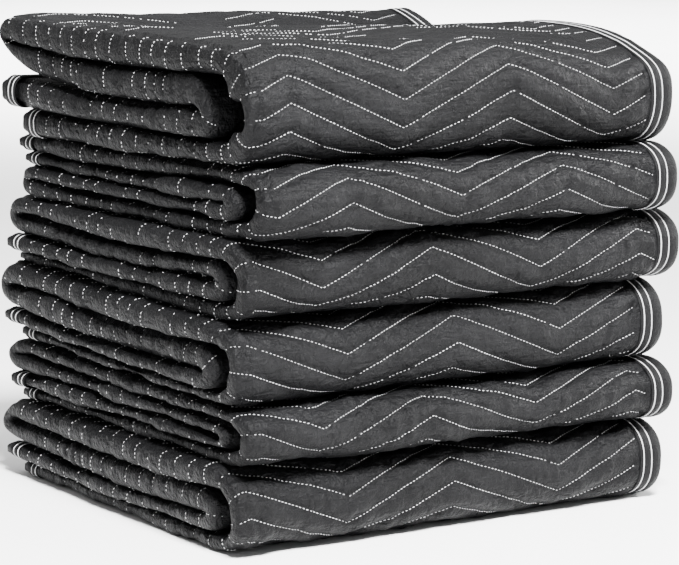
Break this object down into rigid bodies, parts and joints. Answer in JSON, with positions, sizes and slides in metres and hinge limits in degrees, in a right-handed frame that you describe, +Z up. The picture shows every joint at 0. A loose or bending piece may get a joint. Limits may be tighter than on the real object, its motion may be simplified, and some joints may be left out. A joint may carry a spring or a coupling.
{
  "type": "moving blanket stack",
  "caption": "Neat stack of folded quilted moving blankets with bound edges, for padding furniture in transit.",
  "frame": {"origin": "centre of the bounding box's bottom face, on the surface that the stack rests on", "axes": "+X from the closed creases towards the bound sides, +Y from the front folds towards the loose ends, +Z up"},
  "size_m": [0.514, 0.505, 0.4802],
  "materials": {
    "quilted_cloth": "crinkled non-woven shell with a faint sheen",
    "binding_tape": "matt woven polyester tape"
  },
  "bodies": {
    "root": {"blanket_1": "quilted_cloth", "blanket_2": "quilted_cloth", "blanket_3": "quilted_cloth", "blanket_4": "quilted_cloth", "blanket_5": "quilted_cloth", "blanket_6": "quilted_cloth", "side_tape_1": "binding_tape", "outer_end_tape_1": "binding_tape", "inner_end_tape_1": "binding_tape", "side_tape_2": "binding_tape", "outer_end_tape_2": "binding_tape", "inner_end_tape_2": "binding_tape", "side_tape_3": "binding_tape", "outer_end_tape_3": "binding_tape", "inner_end_tape_3": "binding_tape", "side_tape_4": "binding_tape", "outer_end_tape_4": "binding_tape", "inner_end_tape_4": "binding_tape", "side_tape_5": "binding_tape", "outer_end_tape_5": "binding_tape", "inner_end_tape_5": "binding_tape", "side_tape_6": "binding_tape", "outer_end_tape_6": "binding_tape", "inner_end_tape_6": "binding_tape"}
  },
  "joints": []
}
